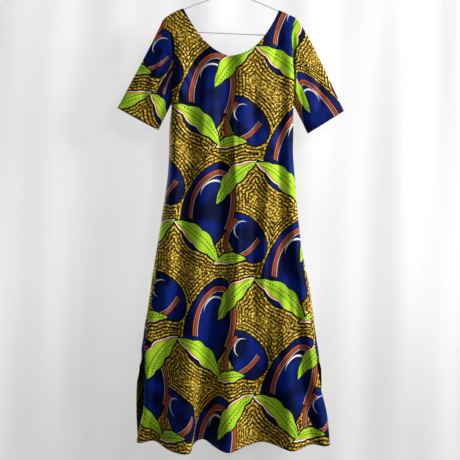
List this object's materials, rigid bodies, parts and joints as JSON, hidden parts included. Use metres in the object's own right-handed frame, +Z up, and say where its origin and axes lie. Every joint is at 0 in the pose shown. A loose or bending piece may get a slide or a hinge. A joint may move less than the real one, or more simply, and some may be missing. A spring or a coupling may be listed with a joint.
{
  "type": "long printed dress on a wire hanger",
  "caption": "Ankle-length A-line cotton dress with elbow sleeves, scoop neck and side slits, in a bold wax-style print, hanging on a plain wire hanger.",
  "frame": {"origin": "top of the space inside the hanger's hook, where the rail carries it", "axes": "+Z up along the garment's height, front facing -Y, and the viewer's right along +X"},
  "size_m": [0.6683, 0.1607, 1.4369],
  "materials": {
    "printed_cotton": "plain-weave cotton with a faint waxy sheen",
    "coated_wire": "smooth pale grey coating"
  },
  "bodies": {
    "root": {"front": "printed_cotton", "back": "printed_cotton", "sleeve_left": "printed_cotton", "sleeve_right": "printed_cotton", "hanger_hook": "coated_wire", "hanger_arm_left": "coated_wire", "hanger_arm_right": "coated_wire", "hanger_bar": "coated_wire"}
  },
  "joints": []
}
